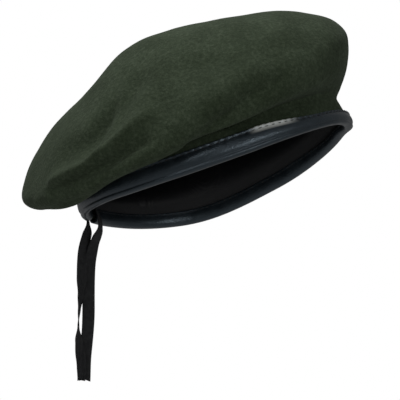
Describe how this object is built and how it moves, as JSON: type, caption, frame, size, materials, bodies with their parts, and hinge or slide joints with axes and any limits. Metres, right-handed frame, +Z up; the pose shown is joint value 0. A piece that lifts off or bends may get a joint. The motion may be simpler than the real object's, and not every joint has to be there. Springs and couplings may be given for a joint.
{
  "type": "beret",
  "caption": "Felted wool military-style beret with a leather edge binding, satin lining and a draw tape whose two ends hang at the back.",
  "frame": {"origin": "middle of the head opening, level with the binding's lowest fold at front and back", "axes": "+X to the front, +Y to the wearer's left, +Z up against gravity; the hat leans back 17.7 degrees, front raised"},
  "size_m": [0.2469, 0.2053, 0.263],
  "materials": {
    "wool_felt": "matte felted wool",
    "black_satin": "satin weave",
    "buckram": "matte, stiffened",
    "black_leather": "semi-gloss",
    "black_tape": "woven, matte",
    "black_thread": "twisted thread",
    "label_cloth": "woven, blank"
  },
  "bodies": {
    "hat": {"wool_crown": "wool_felt", "lining_side_panel": "black_satin", "lining_top_panel": "black_satin", "badge_stiffener": "buckram", "leather_binding": "black_leather", "draw_tape": "black_tape", "binding_outer_stitching": "black_thread", "binding_inner_stitching": "black_thread", "lining_seam_stitching": "black_thread", "size_label": "label_cloth"},
    "left_tail": {"tape_tail_left": "black_tape"},
    "right_tail": {"tape_tail_right": "black_tape"}
  },
  "joints": [
    {"name": "left_tape_pull", "type": "slide", "parent": "hat", "child": "left_tail", "axis": [0, 0, -1], "range_m": [0, 0.008]},
    {"name": "right_tape_pull", "type": "slide", "parent": "hat", "child": "right_tail", "axis": [0, 0, -1], "range_m": [0, 0.008]}
  ]
}
